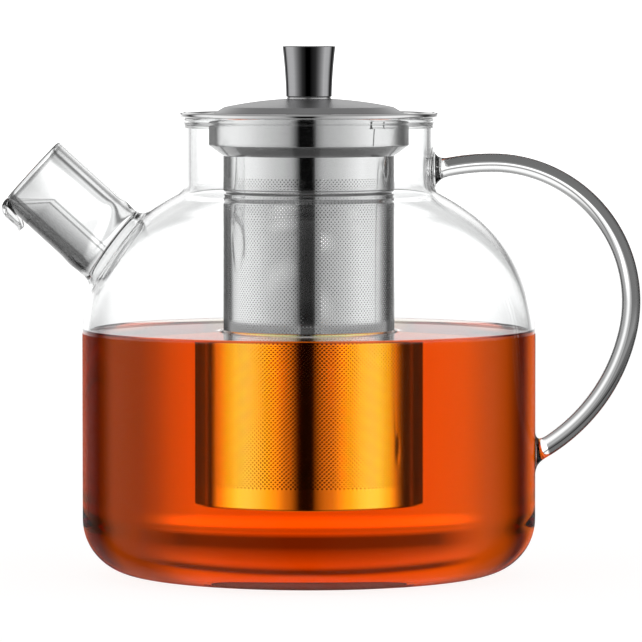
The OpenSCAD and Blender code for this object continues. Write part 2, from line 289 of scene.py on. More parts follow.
class Graph:
    """The node tree of a material or world."""

    def __init__(self, owner):
        self.owner = owner
        owner.use_nodes = True
        self.tree = owner.node_tree
        self.tree.nodes.clear()

    def node(self, kind, inputs=None, **settings):
        """Adds a node; inputs are keyed by name or index and hold signals or plain values."""
        node = self.tree.nodes.new("ShaderNode" + kind)
        for key, value in settings.items():
            setattr(node, key, value)
        for key, value in (inputs or {}).items():
            if isinstance(value, Signal):
                self.tree.links.new(value.node.outputs[value.key], node.inputs[key])
            else:
                node.inputs[key].default_value = value
        return Signal(self, node)

    def math(self, operation, *operands):
        return self.node("Math", dict(enumerate(operands)), operation=operation)

    def combine(self, *parts):
        return self.node("CombineXYZ", dict(enumerate(parts)))

    def split(self, vector):
        parts = self.node("SeparateXYZ", {0: vector})
        return [parts.output(i) for i in range(3)]

    def position(self):
        """Position in metres, whole and as x, y, z."""
        place = self.node("TexCoord").output("Object")
        return place, *self.split(place)

    def noise(self, vector, scale, detail=2.0, roughness=0.5):
        inputs = {"Scale": scale, "Detail": detail, "Roughness": roughness, "Vector": vector}
        return self.node("TexNoise", inputs).output("Fac")

    def ramp(self, value, stops, span=1.0):
        """Colour ramp through (position, grey or colour); positions are divided by span."""
        ramp = self.node("ValToRGB", {0: value})
        elements = ramp.node.color_ramp.elements
        elements.remove(elements[1])
        for k, (position, tone) in enumerate(stops):
            element = elements.new(position / span) if k else elements[0]
            element.position = position / span
            element.color = (*tone, 1) if isinstance(tone, tuple) else (tone, tone, tone, 1)
        return ramp

    def bump(self, height, depth):
        return self.node("Bump", {"Strength": 1.0, "Distance": depth, "Height": height})

    def mix_shaders(self, factor, first, second):
        return self.node("MixShader", {0: factor, 1: first, 2: second})

    def mix_colours(self, factor, first, second):
        return self.node("Mix", {0: factor, 6: first, 7: second}, data_type="RGBA").output(2)

    def finish(self, **outputs):
        self.node("OutputMaterial", outputs)
        return self.owner


def material_graph(name):
    return Graph(bpy.data.materials.new(name))


def distance(first, second):
    return first.graph.math("SQRT", first * first + second * second)


# ---- steel -------------------------------------------------------------------


def painted_hole_shade(graph, angle, z):
    """Painted shade and highlight on the perforated sheet: dark round each hole and brighter
    between them.
    """
    row = (z * 1000.0 - HOLES_LOW) / ROW_H - 0.5
    nearest_row = graph.math("FLOOR", row + 0.5)
    column = angle / HOLE_STEP - nearest_row % 2.0 * 0.5
    across = (column - graph.math("FLOOR", column + 0.5)) * (HOLE_STEP * BASKET_R)
    up = (row - nearest_row) * ROW_H
    ring = graph.ramp(distance(across, up), [(0.30, 0.12), (0.37, 1.3)])
    in_rows = (row > -0.5) * (row < ROWS - 0.5)
    off_seam = graph.math("ABSOLUTE", angle - rad(SEAM_ANGLE)) > rad(SEAM_HALF)
    return 1.0 + in_rows * off_seam * (ring - 1.0)


def darken_sides(graph, shader, z, stops):
    """Painted reflection of the studio's dark sides along upright walls, only where seen through
    the pot's glass.
    """
    normal = graph.node("NewGeometry").output("Normal")
    seen = graph.node("VectorTransform", {0: normal},
                      vector_type="NORMAL", convert_from="WORLD", convert_to="CAMERA")
    sideways = graph.split(seen)[0]
    tone = graph.ramp(sideways * 0.5 + 0.5, [(1 + side, grey) for side, grey in stops], span=2)
    walls = (z < 0.1556) * (z > 0.031)
    path = graph.node("LightPath")
    through_glass = (path.output("Glossy Depth") < 0.5) * (path.output("Transmission Depth") > 0.5)
    dark = graph.node("BsdfDiffuse", {"Color": (0.01, 0.01, 0.01, 1.0)})
    return graph.mix_shaders((1.0 - tone) * through_glass * walls, shader, dark)


def paint_light_through_tea(graph, shader, angle, radius, z, stops):
    """Painted light: seen from outside through the tea, the sheet's colour is raised far past
    white, as if lit hard from behind the pot.
    """
    facing = graph.node("LayerWeight", {"Blend": 0.5}).output("Facing")
    colour = graph.node("VectorMath", {0: graph.ramp(facing, stops),
                                       "Scale": painted_hole_shade(graph, angle, z)}, operation="SCALE")
    lit = graph.node("BsdfAnisotropic", {"Color": colour, "Roughness": 0.11})
    path = graph.node("LightPath")
    deep = path.output("Transmission Depth") > 2.5
    direct = path.output("Glossy Depth") < 0.5
    below = (z < TEA_Z * MM) * (radius > 0.02885)
    return graph.mix_shaders(deep * direct * below, shader, lit)


def steel(name, base, roughness, spread, grain="drawn", line_depth=0.0, tint=(1, 1, 1),
          facing=None, heights=None, distances=None, side=None, painted_tea_light=None):
    """Stainless steel with fine lines and small changes of roughness and tone.

    facing holds painted reflection tones by angle of view, heights and distances painted shade by z
    and by distance from the axis in metres; side paints dark reflections of the studio's sides, and
    the tea stops paint light on the sheet seen through the tea.
    """
    graph = material_graph(name)
    place, x, y, z = graph.position()
    angle = graph.math("ARCTAN2", y, x)
    radius = distance(x, y)
    if grain == "turned":
        stretched = graph.combine(radius * 900.0, angle * 0.6, z * 900.0)
    else:
        stretched = graph.combine(angle * 0.5, z * 700.0, radius * 50.0)
    fine = graph.noise(stretched, scale=1.0, detail=3.0, roughness=0.6)
    broad = graph.noise(place, scale=38.0, detail=3.0, roughness=0.55)
    spots = graph.noise(place, scale=420.0, detail=2.0, roughness=0.5)
    uneven = fine * 0.55 + (broad * 0.3 + spots * 0.15)
    tone = (base - 0.03) + uneven * 0.06
    if facing:
        view = graph.node("LayerWeight", {"Blend": 0.5}).output("Facing")
        tone = tone * graph.ramp(view, facing)
    for where, stops in ((z, heights), (radius, distances)):
        if stops:
            tone = tone * graph.ramp(where * 5.0, stops, span=0.2)
    inputs = {
        "Metallic": 1.0,
        "Roughness": (roughness - spread * 0.5) + uneven * spread,
        "Base Color": graph.combine(*(tone * part for part in tint)),
    }
    if line_depth:
        inputs["Normal"] = graph.bump(fine, line_depth)
    shader = graph.node("BsdfPrincipled", inputs)
    if side:
        shader = darken_sides(graph, shader, z, side)
    if painted_tea_light:
        shader = paint_light_through_tea(graph, shader, angle, radius, z, painted_tea_light)
    return graph.finish(Surface=shader)


def sides(middle):
    """Painted reflection tones along an upright round wall, from -1 at its left edge to 1 at its
    right.
    """
    return [(-1.0, 0.22), (-0.976, 0.14), (-0.953, 0.17), (-0.931, 0.5), (-0.91, 0.86),
            (-0.89, 1.0), (-0.105, 1.0), (-0.088, middle), (0.06, middle), (0.077, 1.0),
            (0.874, 1.0), (0.893, 0.8), (0.91, 0.36), (0.931, 0.24), (0.953, 0.34),
            (0.976, 0.46), (1.0, 0.55)]


# ---- glass and tea -----------------------------------------------------------


def painted_spout_shade(graph, x, y, z):
    """Painted shade: the studio's dark sides as they would show in the spout; distances in
    millimetres.
    """
    cos_tilt, sin_tilt = math.cos(rad(SPOUT_ANGLE)), math.sin(rad(SPOUT_ANGLE))
    from_mouth_x = x * 1000.0 - float(MOUTH[0])
    from_mouth_z = z * 1000.0 - float(MOUTH[2])
    # distance down the spout from its mouth, and from its axis towards its lower side
    along = from_mouth_x * cos_tilt - from_mouth_z * sin_tilt
    low = (from_mouth_x * sin_tilt + from_mouth_z * cos_tilt) * -1.0
    edge = graph.math("MAXIMUM", 2.6, 14.5 - along)
    streak = graph.ramp((low - edge + 2.0) / 14.0, [
        (0, 1.0), (1.55, 1.0), (1.85, 0.42), (2.1, 0.42), (2.45, 0.88), (6.0, 0.66),
        (9.5, 0.42), (10.6, 0.34), (14.0, 0.3)], span=14)
    underside = graph.ramp(low / 14.0, [(0, 1.0), (10.9, 1.0), (11.5, 0.09), (14.0, 0.06)], span=14)
    mouth = graph.ramp((along + 2.0) / 16.0, [
        (0, 0.35), (2.4, 0.35), (2.6, 1.0), (3.2, 1.0), (3.4, 0.5), (4.0, 0.55), (4.3, 0.8),
        (9.0, 0.9), (16.0, 1.0)], span=16)
    from_axis = graph.math("SQRT", low * low + y * y * 1000000.0)
    spout = graph.ramp(along / 40.0, [(0, 1.0), (35.0, 1.0), (38.5, 0.0)], span=40)
    spout = spout * (from_axis < 15.5) * (x < -0.06)
    return 1.0 - spout * (1.0 - streak * underside * mouth)


def glass_material():
    graph = material_graph("clear_glass")
    place, x, y, z = graph.position()

    def by_level(below, above):
        stops = [((TEA_Z - 0.5) * MM, below), ((TEA_Z + 0.5) * MM, above)]
        return graph.ramp(z * 10.0, stops, span=0.1)

    rod_side = graph.node("Attribute", attribute_name="rod_side").output("Fac")
    painted_rod_shade = graph.ramp(rod_side,
                          [(0, 1.0), (0.485, 1.0), (0.52, 0.16), (0.9, 0.13), (1.0, 0.08)])
    # painted shade: dark bands of the studio's sides in the spout and on the handle's outer half,
    # only as seen directly, not in the steel's reflections
    direct = graph.node("LightPath").output("Glossy Depth") < 0.5
    tone = 1.0 - direct * (1.0 - painted_spout_shade(graph, x, y, z) * painted_rod_shade)
    smears = graph.noise(place, scale=70.0, detail=4.0, roughness=0.6)
    waves = graph.bump(graph.noise(place, scale=26.0), depth=0.00004)
    shader = graph.node("BsdfPrincipled", {
        "Transmission Weight": 1.0,
        "IOR": 1.473,
        # reflections are quieter where the tea backs the wall
        "Specular IOR Level": by_level(below=0.05, above=0.28),
        "Specular Tint": by_level(below=0.05, above=0.7),
        "Base Color": graph.combine(tone * 0.985, tone * 0.99, tone * 0.99),
        "Roughness": graph.ramp(smears, [(0.55, 0.0), (0.85, 1.0)]) * 0.012,
        "Normal": waves,
    })
    clear = graph.node("BsdfRefraction", {"IOR": 1.473, "Roughness": 0.0, "Normal": waves})
    entering = 1.0 - graph.node("NewGeometry").output("Backfacing")
    soaked = entering * ((z < (TEA_Z - 0.3) * MM) * (distance(x, y) < 0.0775))
    return graph.finish(Surface=graph.mix_shaders(soaked * 0.92, shader, clear))


def tea_material():
    graph = material_graph("tea")
    place, _, _, z = graph.position()
    shader = graph.node("BsdfPrincipled", {
        "Transmission Weight": 1.0,
        "IOR": 1.333,
        "Specular IOR Level": 0.1,
        "Specular Tint": (0.1, 0.1, 0.1, 1),
        "Roughness": 0.0,
        "Base Color": (1, 1, 1, 1),
        "Normal": graph.bump(graph.noise(place, scale=30.0, detail=1.0, roughness=0.4),
                             depth=0.00003),
    })
    # painted reflection: seen from above in the reflections of steel and glass, the surface shows
    # as a flat glowing grey
    reflected = graph.node("LightPath").output("Glossy Depth") > 0.5
    painted_reflection_mask = reflected * (1.0 - graph.node("NewGeometry").output("Backfacing"))
    grey = graph.node("Emission", {"Color": (0.36, 0.36, 0.36, 1)})
    surface = graph.mix_shaders(painted_reflection_mask * (z > (TEA_Z - 0.5) * MM), shader, grey)
    # absorption per metre of red, green and blue is density * (1 - colour)
    absorption = (2.0, 20.0, 59.0)
    density = 60.0
    colour = (*(1 - part / density for part in absorption), 1)
    volume = graph.node("VolumeAbsorption", {"Color": colour, "Density": density})
    return graph.finish(Surface=surface, Volume=volume)


# painted light: colour of the sheet through the tea, from face on (0) to edge on (1), far past
# white
TEA_PAINTED_LIGHT = [
    (0.0, (1.3, 1.2, 1.5)), (0.0236, (1.47, 1.6, 2.0)), (0.0445, (2.2, 2.75, 2.2)),
    (0.0727, (1.9, 3.5, 2.9)), (0.109, (1.8, 4.0, 10.0)), (0.154, (1.5, 4.1, 15.0)),
    (0.209, (1.37, 4.1, 14.3)), (0.277, (1.3, 3.06, 5.0)), (0.363, (1.22, 1.67, 2.0)),
    (0.473, (0.96, 0.99, 1.2)), (0.56, (0.8, 0.7, 0.9)), (0.61, (0.25, 0.25, 0.3)),
    (0.7, (0.12, 0.12, 0.15)), (1.0, (0.1, 0.1, 0.1)),
]

MATERIALS = {
    "clear_glass": glass_material(),
    "tea": tea_material(),
    "satin_steel": steel(
        # painted reflection of the studio's dark sides on the collar's upright wall
        "satin_steel", base=0.74, roughness=0.08, spread=0.05, side=sides(middle=0.6),
        # painted shade on the collar's cone, between z 142 and 146 mm
        heights=[(0.1420, 1.0), (0.1424, 0.42), (0.1440, 0.3), (0.1456, 0.4), (0.1462, 1.0)]),
    "perforated_steel": steel(
        # painted reflection of the studio's dark sides on the basket, with a darker strip down its
        # middle
        "perforated_steel", base=0.95, roughness=0.09, spread=0.05, side=sides(middle=0.3),
        # painted shade on the basket's inner face, within 28.6 mm of the axis
        distances=[(0.0286, 0.10), (0.0290, 1.0)], painted_tea_light=TEA_PAINTED_LIGHT),
    "perforated_base_steel": steel(
        "perforated_base_steel", base=0.2, roughness=0.4, spread=0.10),
    "brushed_lid_steel": steel(
        "brushed_lid_steel", base=0.42, roughness=0.36, spread=0.10, grain="turned",
        # painted shadow line on the lid's brim, below z 156.6 mm
        line_depth=0.000004, tint=(1.0, 1.0, 1.01), heights=[(0.1566, 0.14), (0.1569, 1.0)]),
    "polished_steel": steel(
        "polished_steel", base=0.88, roughness=0.06, spread=0.05, grain="turned"),
    "dark_polished_steel": steel(
        "dark_polished_steel", base=0.36, roughness=0.05, spread=0.04, grain="turned",
        tint=(1.0, 1.0, 1.02),
        # painted reflection on the knob: near black face on, brightest at a middle angle, darker
        # towards the edges
        facing=[(0.0, 0.03), (0.04, 0.10), (0.12, 0.55), (0.22, 1.0), (0.45, 0.9), (0.6, 0.4)]),
}

# ---- glass: signed distances -------------------------------------------------


def body_distance(radius, z):
    """Distance outside the vessel's outer surface in the (r, z) plane, negative inside."""
    best = np.full(radius.shape, 1e9)

    def take(gap, valid):
        nonlocal best
        gap = np.where(valid, gap, 1e9)
        best = np.where(np.abs(gap) < np.abs(best), gap, best)

    take(-z, radius <= under_r)
    for centre, arc_r, start, end in (
        (under_mid, UNDER_R, -90.0, -CORNER_ANGLE),
        (corner_mid, CORNER_R, -CORNER_ANGLE, 0.0),
        (shoulder_mid, SHOULDER_R, 0.0, SHOULDER_ANGLE),
        (upper_mid, UPPER_R, SHOULDER_ANGLE, math.degrees(fillet_angle)),
    ):
        out, up = radius - centre[0], z - centre[1]
        angle = np.degrees(np.arctan2(up, out))
        take(np.hypot(out, up) - arc_r, (angle >= start - 1e-6) & (angle <= end + 1e-6))
    take(radius - BODY_R, (z >= corner_z) & (z <= SHOULDER_Z))
    inward, down = fillet_mid[0] - radius, fillet_mid[1] - z
    angle = np.arctan2(down, inward)
    take(NECK_FILLET - np.hypot(inward, down),
         (angle >= -1e-9) & (angle <= fillet_angle + 1e-9) & (inward > 0))
    take(radius - NECK_R, z >= fillet_mid[1])
    return best


def outer(points):
    return body_distance(np.hypot(points[..., 0], points[..., 1]), points[..., 2])


def inner(points):
    return outer(points) + WALL


tilt = rad(SPOUT_ANGLE - 90)
SPOUT_OUT = np.array([math.sin(tilt), 0.0, math.cos(tilt)])   # along its axis, out of the mouth
SPOUT_TOP = np.array([math.cos(tilt), 0.0, -math.sin(tilt)])  # towards its upper side
Y_AXIS = np.array([0.0, 1.0, 0.0])


def spout_out_r(height):
    """Outer radius of the spout: straight, with a slight swelling at the weld."""
    return SPOUT_R + 0.35 * np.exp(-(((height + 31.0) / 3.0) ** 2))


def spout_in_r(height):
    """Radius of the bore, a little wider at its root."""
    return SPOUT_BORE + 0.6 * (1 / (1 + np.exp((height + 31.5) / 1.1)))


def spout_field(radius_at):
    def field(points):
        offset = points - MOUTH
        height = offset @ SPOUT_OUT
        across = offset - height[..., None] * SPOUT_OUT
        return np.linalg.norm(across, axis=-1) - radius_at(height)
    return field


def rod_field(centre, bend_r):
    """Distance from the rod of one arc, a ring in the (x, z) plane."""
    def field(points):
        from_centre = np.hypot(points[..., 0] - centre[0], points[..., 2] - centre[1])
        return np.hypot(from_centre - bend_r, points[..., 1]) - ROD_R
    return field


def smooth_min(first, second, width):
    overlap = np.maximum(width - np.abs(first - second), 0.0) / width
    return np.minimum(first, second) - overlap * overlap * width * 0.25


def onto(points, field, rounds):
    """Moves points on to field = 0 along its gradient."""
    reach = 1e-3
    for _ in range(rounds):
        value = field(points)
        slope = np.stack([(field(points + step) - field(points - step)) / (2 * reach)
                          for step in np.eye(3) * reach], -1)
        steepness = np.maximum((slope * slope).sum(-1), 0.05)
        points = points - (value / steepness)[..., None] * slope
    return points


def patch(loop, tube, wall, tube_field, blend, start, end, flare_rows, tube_rows):
    """Rows of points from a loop on the body to a ring on a tube, on the blended surface.

    tube(heights) gives a point per column; start is inside the body and end is clear of it.
    """
    def field(points):
        return smooth_min(wall(points), tube_field(points), blend)

    inside, outside = np.full(len(loop), float(start)), np.full(len(loop), float(end))
    start_value = wall(tube(inside))
    for _ in range(40):  # where each line of the tube meets the body
        middle = (inside + outside) / 2
        same = np.sign(wall(tube(middle))) == np.sign(start_value)
        inside = np.where(same, middle, inside)
        outside = np.where(same, outside, middle)
    crossing = (inside + outside) / 2
    corner = tube(crossing)
    rows = []
    for i in range(1, flare_rows + 1):
        part = (i / flare_rows) ** 0.85
        rows.append(loop * (1 - part) + corner * part)
    top = np.full(len(loop), float(end))
    for i in range(1, tube_rows + 1):
        rows.append(tube(crossing + (top - crossing) * (i / tube_rows)))
    rows = np.array(rows)
    last_row = rows[-1].copy()
    rows = onto(rows, field, 10)
    for _ in range(14):  # even out the spacing
        full = np.concatenate([loop[None], rows], 0)
        upright = (full[:-2] + full[2:]) / 2
        around = (np.roll(full[1:-1], 1, 1) + np.roll(full[1:-1], -1, 1)) / 2
        mean = upright * 0.5 + around * 0.5
        rows[:-1] = rows[:-1] * 0.5 + mean * 0.5
        rows[:-1] = onto(rows[:-1], field, 2)
    rows = onto(rows, field, 4)
    rows[-1] = last_row
    return rows


# ---- glass: vessel profile ---------------------------------------------------

bead_mid = np.array([NECK_R - WALL / 2, RIM_Z - RIM_BEAD])
bead_angle = -math.degrees(math.acos((WALL / 2) / RIM_BEAD))
NECK_TOP = bead_mid[1] + RIM_BEAD * math.sin(rad(bead_angle)) - 0.6


def arc_points(centre, radius, start, end, steps, facing=1):
    """Points and normals along an arc; facing -1 points the normals to its centre."""
    out = spokes(np.radians(np.linspace(start, end, steps + 1)))
    return centre + out * radius, out * facing


def outer_profile():
    """The outer wall from the axis to the rim, in (r, z), and its normals."""
    points, normals = [], []

    def add(new_points, new_normals):
        for point, normal in zip(new_points, new_normals):
            if points and np.linalg.norm(points[-1] - point) < 1e-6:
                continue
            points.append(np.array(point, float))
            normals.append(np.array(normal, float))

    def run(start, end, steps, normal):
        part = np.linspace(0, 1, steps + 1)[:, None]
        add(np.array(start) * (1 - part) + np.array(end) * part, [normal] * (steps + 1))

    top_angle = math.degrees(fillet_angle)
    run([0, 0], [under_r, 0], 16, [0, -1])
    add(*arc_points(under_mid, UNDER_R, -90, -CORNER_ANGLE, 5))
    add(*arc_points(corner_mid, CORNER_R, -CORNER_ANGLE, 0, 20))
    # the upright wall has its finest rows where the handle's lower foot is fused on
    for low, high, steps in ((corner_z, 30.0, 8), (30.0, 54.0, 24), (54.0, SHOULDER_Z, 15)):
        run([BODY_R, low], [BODY_R, high], steps, [1, 0])
    add(*arc_points(shoulder_mid, SHOULDER_R, 0, SHOULDER_ANGLE, 30))
    add(*arc_points(upper_mid, UPPER_R, SHOULDER_ANGLE, top_angle, 7))
    add(*arc_points(fillet_mid, NECK_FILLET, top_angle + 180, 180, 8, facing=-1))
    run([NECK_R, fillet_mid[1]], [NECK_R, NECK_TOP], 16, [1, 0])
    return np.array(points), np.array(normals)


def thickness(point):
    """Wall thickness, growing to FOOT_WALL under the pot."""
    weight = 1 / (1 + math.exp(-(54.0 - point[0]) / 2.2)) if point[1] < 30 else 0.0
    return WALL + (FOOT_WALL - WALL) * weight


outer_wall, wall_normals = outer_profile()
inner_wall = np.array([p - n * thickness(p) for p, n in zip(outer_wall, wall_normals)])
inner_wall[0][0] = 0.0
# rim bead, with a small hollow where it meets the neck on either side
rim_bead, _ = arc_points(bead_mid, RIM_BEAD, bead_angle + 12, 180 - bead_angle - 12, 22)

# ---- glass: vessel mesh ------------------------------------------------------

COLUMNS = 240
column_spokes = spokes(np.arange(COLUMNS) * 2 * math.pi / COLUMNS)


class PointStore:
    """Collects blocks of points and numbers them."""

    def __init__(self):
        self.blocks, self.count = [], 0

    def push(self, block):
        """Stores points and returns their numbers in the same layout."""
        self.blocks.append(block.reshape(-1, 3))
        ids = self.count + np.arange(block.size // 3).reshape(block.shape[:-1])
        self.count += ids.size
        return ids

    def points(self):
        return np.concatenate(self.blocks)


def revolve(profile):
    """Rows of points, one round the axis for each (r, z)."""
    return np.array([np.c_[r * column_spokes, np.full(COLUMNS, z)] for r, z in profile])


def strips(ids, flip=False):
    """Quads between rows of a grid that closes on itself."""
    low, high = ids[:-1], ids[1:]
    corners = [low, np.roll(low, -1, 1), np.roll(high, -1, 1), high]
    quads = np.stack(corners, -1).reshape(-1, 4)
    return quads[:, ::-1] if flip else quads


def wall_faces(grid, holes, flip=False):
    """All quads of a lathe grid apart from the holes, each (row0, row1, column0, column1)."""
    rows, columns = grid.shape
    keep = np.ones((rows - 1, columns), bool)
    for row0, row1, column0, column1 in holes:
        keep[row0:row1, np.arange(column0, column1) % columns] = False
    return strips(grid, flip).reshape(rows - 1, columns, 4)[keep]


def window(profile, point, rows, column, half_width):
    """A hole in the grid of a profile, centred on the row nearest to a point."""
    nearest = int(np.argmin(np.linalg.norm(profile[1:] - np.array(point), axis=1)))
    row = nearest - rows // 2
    return row, row + rows, column - half_width, column + half_width


def loop_of(grid, hole):
    """Points round a hole: along the low row, up, back along the high row and down."""
    row0, row1, column0, column1 = hole
    cells = [(row0, c) for c in range(column0, column1)]
    cells += [(r, column1) for r in range(row0, row1)]
    cells += [(row1, c) for c in range(column1, column0, -1)]
    cells += [(r, column0) for r in range(row1, row0, -1)]
    return np.array([grid[r, c % COLUMNS] for r, c in cells])


def even_angles(loop, origin, first_axis, second_axis):
    """Evenly spaced angles round an axis that follow a loop from its first point."""
    offset = loop - origin
    angles = np.unwrap(np.arctan2(offset @ second_axis, offset @ first_axis))
    turn = 1 if angles[-1] > angles[0] else -1
    even = angles[0] + turn * np.arange(len(loop)) * 2 * math.pi / len(loop)
    return even + np.mean(angles - even)


def wrap(angles):
    return (angles + math.pi) % (2 * math.pi) - math.pi


def smooth_step(part):
    return part * part * (3 - 2 * part)


store = PointStore()
out_grid = store.push(revolve(outer_wall[1:]))
bead_grid = store.push(revolve(rim_bead))
in_grid = store.push(revolve(inner_wall[1:]))
axis_ids = store.push(np.array([[0, 0, outer_wall[0][1]], [0, 0, inner_wall[0][1]]], float))
tris = np.concatenate([
    np.stack([np.full(COLUMNS, axis_ids[0]), np.roll(out_grid[0], -1), out_grid[0]], 1),
    np.stack([np.full(COLUMNS, axis_ids[1]), in_grid[0], np.roll(in_grid[0], -1)], 1),
])

SPOUT_LENGTH = 37.7         # from the mouth to the shoulder, along the spout's axis
root = MOUTH - SPOUT_OUT * SPOUT_LENGTH
root_in = MOUTH - SPOUT_OUT * (SPOUT_LENGTH + WALL)
HANDLE_HIGH_Z, HANDLE_LOW_Z = 136.55, 42.4   # middles of the openings for the handle's feet
spout_hole = window(outer_wall, (abs(root[0]), root[2]), 24, COLUMNS // 2, 12)
bore_hole = window(inner_wall, (abs(root_in[0]), root_in[2]), 24, COLUMNS // 2, 12)
high_hole = window(outer_wall, (NECK_R, HANDLE_HIGH_Z), 16, 0, 8)
low_hole = window(outer_wall, (BODY_R, HANDLE_LOW_Z), 22, 0, 5)
quads = [
    strips(np.concatenate([out_grid[-1:], bead_grid, in_grid[-1:]])),
    wall_faces(out_grid, [spout_hole, high_hole, low_hole]),
    wall_faces(in_grid, [bore_hole], flip=True),
]
wall_points = store.points()

# ---- glass: spout, heights measured from the mouth ---------------------------

MOUTH_BAND = -14.0          # the shaped rim of the mouth ends here
WELD_END = -25.5            # the outer blend with the body ends here
BORE_WELD_END = -27.0
LIP_HALF_ANGLE, LIP_FADE = 33, 9   # degrees each side of the mouth's lowest point


def resample(points, count):
    """Evenly spaced points along a line."""
    points = np.array(points, float)
    lengths = np.linalg.norm(np.diff(points, axis=0), axis=1)
    travelled = np.concatenate([[0], np.cumsum(lengths)])
    stations = np.linspace(0, travelled[-1], count)
    return np.stack([np.interp(stations, travelled, points[:, k]) for k in (0, 1)], 1)


def bend(centre, radius, start, end, count=14):
    """Points on an arc, as a list."""
    return list(np.array(centre) + radius * spokes(np.radians(np.linspace(start, end, count))))


def mouth_profiles():
    """The mouth's rim, plain and with the curled lip, as (radius, height), points matched."""
    lip_wall = 1.15
    curl_r = 4.1            # outer radius of the curl
    curl_mid = (13.6, -curl_r)
    lip_r = curl_mid[0] + curl_r
    hem_z = -10.2
    hollow_r, hollow_z = 0.75, -1.9
    edge_r = 1.4
    lip = [
        resample([(SPOUT_R, MOUTH_BAND), (SPOUT_R, -2.3)], 9),
        resample([(SPOUT_R, -2.3)]
                 + bend((SPOUT_R + hollow_r, hollow_z), hollow_r, 180, 90, 6)
                 + bend(curl_mid, curl_r - lip_wall, 68, 0)
                 + [(lip_r - lip_wall, -10.0)], 16),
        resample(bend((lip_r - lip_wall / 2, hem_z), lip_wall / 2, 180, 360, 8), 7),
        resample([(lip_r, hem_z), (lip_r, -curl_r)]
                 + bend(curl_mid, curl_r, 0, 90)
                 + bend((SPOUT_BORE + edge_r, -edge_r), edge_r, 90, 180, 6), 22),
        resample([(SPOUT_BORE, -edge_r), (SPOUT_BORE, MOUTH_BAND)], 9),
    ]
    lip_middle = sum(len(part) - 1 for part in lip[1:4])
    half = SPOUT_WALL / 2
    plain = [
        resample([(SPOUT_R, MOUTH_BAND), (SPOUT_R, -half)], 9),
        resample(bend((SPOUT_R - half, -half), half, 0, 180, 40), lip_middle + 1),
        resample([(SPOUT_BORE, -half), (SPOUT_BORE, MOUTH_BAND)], 9),
    ]
    return [np.concatenate([parts[0]] + [part[1:] for part in parts[1:]])
            for parts in (plain, lip)]


spout_loop, bore_loop = loop_of(out_grid, spout_hole), loop_of(in_grid, bore_hole)
spout_angles = even_angles(wall_points[spout_loop], root, SPOUT_TOP, Y_AXIS)


def spout_ring(heights, radii):
    """One point per column at heights and radii given singly or per column."""
    heights = np.broadcast_to(np.asarray(heights, float), spout_angles.shape)
    return (MOUTH + heights[:, None] * SPOUT_OUT
            + (radii * np.cos(spout_angles))[:, None] * SPOUT_TOP
            + (radii * np.sin(spout_angles))[:, None] * Y_AXIS)


def on_spout(heights):
    return spout_ring(heights, spout_out_r(heights))


def on_bore(heights):
    return spout_ring(heights, spout_in_r(heights))


def mouth_rows():
    # the lip curls only round the lowest point of the mouth
    from_low = np.abs(wrap(spout_angles - math.pi))
    weight = smooth_step(np.clip((rad(LIP_HALF_ANGLE) - from_low) / rad(LIP_FADE), 0, 1))
    return [spout_ring(plain[1] * (1 - weight) + lip[1] * weight,
                       plain[0] * (1 - weight) + lip[0] * weight)
            for plain, lip in zip(*mouth_profiles())]


spout_ids = store.push(np.concatenate([
    patch(wall_points[spout_loop], on_spout, outer, spout_field(spout_out_r), blend=3.8,
          start=-56.0, end=WELD_END, flare_rows=9, tube_rows=10),
    [on_spout(h) for h in np.linspace(WELD_END, MOUTH_BAND, 8)[1:-1]],
    mouth_rows(),
    [on_bore(h) for h in np.linspace(MOUTH_BAND, BORE_WELD_END, 9)[1:-1]],
    patch(wall_points[bore_loop], on_bore, inner, spout_field(spout_in_r), blend=2.6,
          start=-60.0, end=BORE_WELD_END, flare_rows=9, tube_rows=9)[::-1],
]))
quads.append(strips(np.concatenate([spout_loop[None], spout_ids, bore_loop[None]])))

# ---- glass: handle -----------------------------------------------------------

low_arc_mid = np.array([BEND_X, BEND_Z]) + (BEND_R - LOW_ARC_R) * spokes(rad(-LOW_ARC_ANGLE))
top_arc_mid = np.array([BEND_X, BEND_Z + BEND_R - TOP_ARC_R])
neck_angle = math.degrees(math.acos((NECK_R - BEND_X) / TOP_ARC_R))
wall_angle = math.degrees(math.acos((BODY_R - low_arc_mid[0]) / LOW_ARC_R))
TOP_LENGTH = rad(neck_angle - 90) * TOP_ARC_R
BEND_END = TOP_LENGTH + rad(90 + LOW_ARC_ANGLE) * BEND_R
ROD_LENGTH = BEND_END + rad(wall_angle - LOW_ARC_ANGLE) * LOW_ARC_R
FOOT_LENGTH = 9.0           # rod taken up by the blend at either end
ROD_STEPS = 118


def rod_line(length):
    """Centre and outward normal of the rod at a length from the neck, in the (x, z) plane."""
    length = np.asarray(length, float)

    def by_arc(top, main, low):
        return np.where(length < TOP_LENGTH, top, np.where(length < BEND_END, main, low))

    angle = by_arc(90 + np.degrees((TOP_LENGTH - length) / TOP_ARC_R),
                   90 - np.degrees((length - TOP_LENGTH) / BEND_R),
                   -LOW_ARC_ANGLE - np.degrees((length - BEND_END) / LOW_ARC_R))
    centre = np.stack([by_arc(top_arc_mid[0], BEND_X, low_arc_mid[0]),
                       by_arc(top_arc_mid[1], BEND_Z, low_arc_mid[1])], -1)
    radius = by_arc(TOP_ARC_R, BEND_R, LOW_ARC_R)
    normal = spokes(np.radians(angle))
    return centre + normal * radius[..., None], normal


def on_rod(length, angles):
    """One point per column round the rod."""
    centre, normal = rod_line(np.broadcast_to(np.asarray(length, float), angles.shape))
    out, side = np.cos(angles) * ROD_R, np.sin(angles) * ROD_R
    return np.stack([centre[:, 0] + normal[:, 0] * out, side,
                     centre[:, 1] + normal[:, 1] * out], -1)


def rod_angles(ids, length):
    centre, normal = rod_line(length)
    origin = np.array([centre[0], 0.0, centre[1]])
    return even_angles(wall_points[ids], origin, np.array([normal[0], 0.0, normal[1]]), Y_AXIS)


